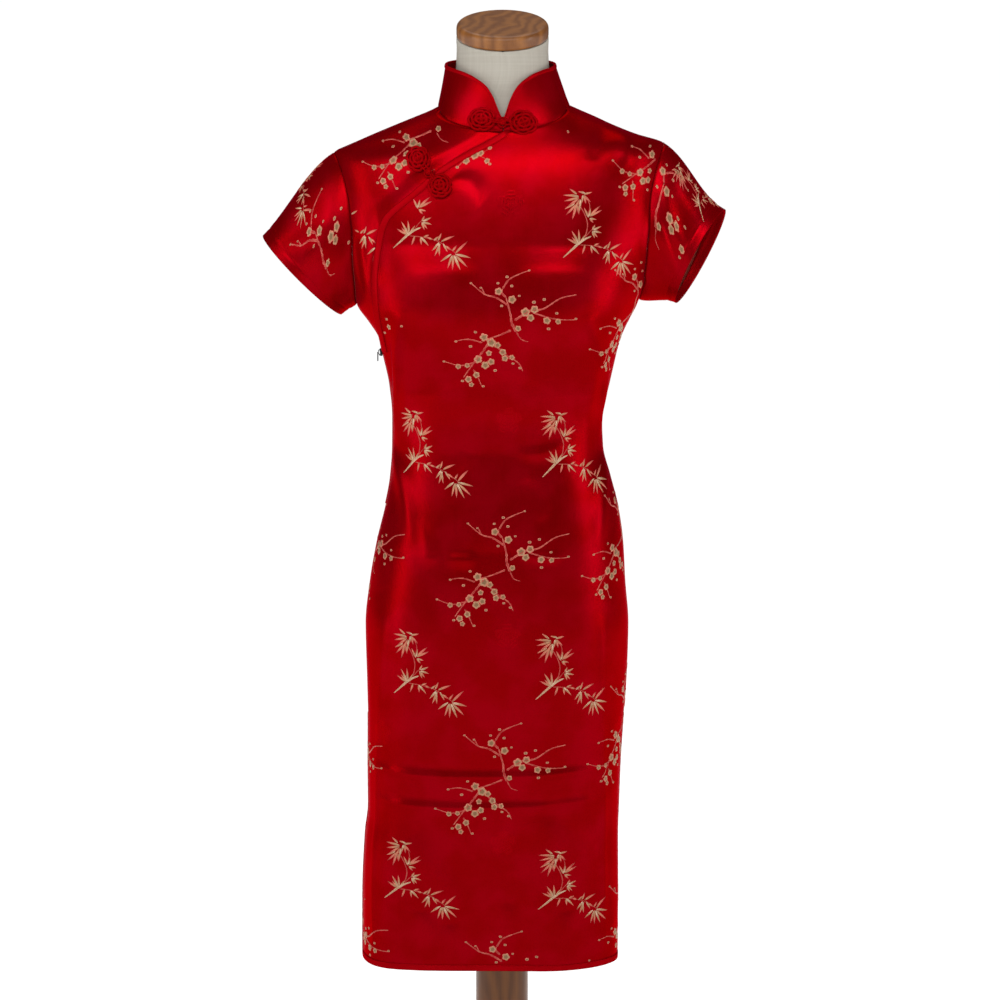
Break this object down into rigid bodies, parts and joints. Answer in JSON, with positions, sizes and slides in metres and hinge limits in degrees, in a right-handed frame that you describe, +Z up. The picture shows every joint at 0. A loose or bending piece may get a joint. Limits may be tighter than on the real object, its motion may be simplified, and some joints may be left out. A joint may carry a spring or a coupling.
{
  "type": "cheongsam dress on a dress form",
  "caption": "Fitted satin cheongsam with stand collar, slanted opening, petal-knot frogs, short sleeves and side slits, on a limbless linen dress form with a turned wooden stand.",
  "frame": {"origin": "middle of the flat underside of the stand's base", "axes": "+Z up along the stand, -Y towards the front of the dress, +X towards the viewer's right"},
  "size_m": [0.539, 0.37, 1.5165],
  "materials": {
    "satin": "red brocade satin",
    "trim_satin": "plain red satin bias",
    "linen": "natural linen",
    "cap_wood": "satin varnish",
    "stand_wood": "satin varnish",
    "dark_metal": "dark enamel"
  },
  "bodies": {
    "dress_on_form": {"front_panel": "satin", "under_front_panel": "satin", "back_panel": "satin", "sleeve_left": "satin", "sleeve_right": "satin", "sleeve_hem_left": "satin", "sleeve_hem_right": "satin", "collar": "satin", "collar_binding": "trim_satin", "placket_binding": "trim_satin", "hem_binding_front": "trim_satin", "hem_binding_back": "trim_satin", "frog_collar_button": "trim_satin", "frog_collar_loop": "trim_satin", "frog_chest_button": "trim_satin", "frog_chest_loop": "trim_satin", "zip_tape": "satin", "zip_slider": "dark_metal", "form_torso": "linen", "neck_cap": "cap_wood", "stand_column": "stand_wood", "stand_base": "stand_wood"},
    "zip_pull_tab": {"zip_pull": "dark_metal"}
  },
  "joints": [
    {"name": "zip_pull_swing", "type": "hinge", "parent": "dress_on_form", "child": "zip_pull_tab", "pos_m": [-0.1454, 0, 1.12], "axis": [0, 1, 0], "range_deg": [0, 120]}
  ]
}
